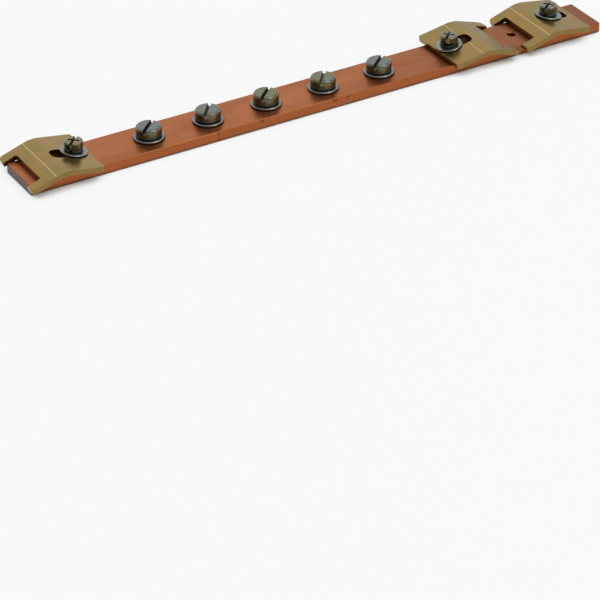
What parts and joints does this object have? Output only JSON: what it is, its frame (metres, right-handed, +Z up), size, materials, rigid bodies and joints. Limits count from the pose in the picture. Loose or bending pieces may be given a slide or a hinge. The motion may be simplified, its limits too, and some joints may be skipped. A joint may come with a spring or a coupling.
{
  "type": "earth terminal bar",
  "caption": "Flat copper earth terminal bar with slotted cheese-head screws on washers and bent, slotted saddle clamps screwed across it.",
  "frame": {"origin": "middle of the bar's flat underside", "axes": "+X along the bar towards the end that carries the facing pair of clamps, +Y across the bar, +Z up out of the face that carries the screws"},
  "size_m": [0.2515, 0.029, 0.0126],
  "materials": {
    "copper": "drawn, lightly oxidised copper with fine lengthwise lines",
    "yellow_zinc": "yellow-chromated zinc on pressed steel sheet, satin, faintly iridescent",
    "zinc_screw": "zinc-plated turned steel, satin with yellow and green tints",
    "zinc_washer": "blue-white zinc on pressed steel, satin",
    "spring_steel": "dull zinc on spring steel"
  },
  "bodies": {
    "root": {"copper_bar": "copper", "terminal_screw_1": "zinc_screw", "terminal_screw_2": "zinc_screw", "terminal_screw_3": "zinc_screw", "terminal_screw_4": "zinc_screw", "terminal_screw_5": "zinc_screw", "terminal_spring_washer_1": "spring_steel", "terminal_spring_washer_2": "spring_steel", "terminal_spring_washer_3": "spring_steel", "terminal_spring_washer_4": "spring_steel", "terminal_spring_washer_5": "spring_steel", "terminal_washer_1": "zinc_washer", "terminal_washer_2": "zinc_washer", "terminal_washer_3": "zinc_washer", "terminal_washer_4": "zinc_washer", "terminal_washer_5": "zinc_washer", "saddle_clamp_1": "yellow_zinc", "saddle_clamp_2": "yellow_zinc", "saddle_clamp_3": "yellow_zinc", "clamp_screw_1": "zinc_screw", "clamp_screw_2": "zinc_screw", "clamp_screw_3": "zinc_screw", "clamp_spring_washer_1": "spring_steel", "clamp_spring_washer_2": "spring_steel", "clamp_spring_washer_3": "spring_steel", "clamp_washer_1": "zinc_washer", "clamp_washer_2": "zinc_washer", "clamp_washer_3": "zinc_washer"}
  },
  "joints": []
}
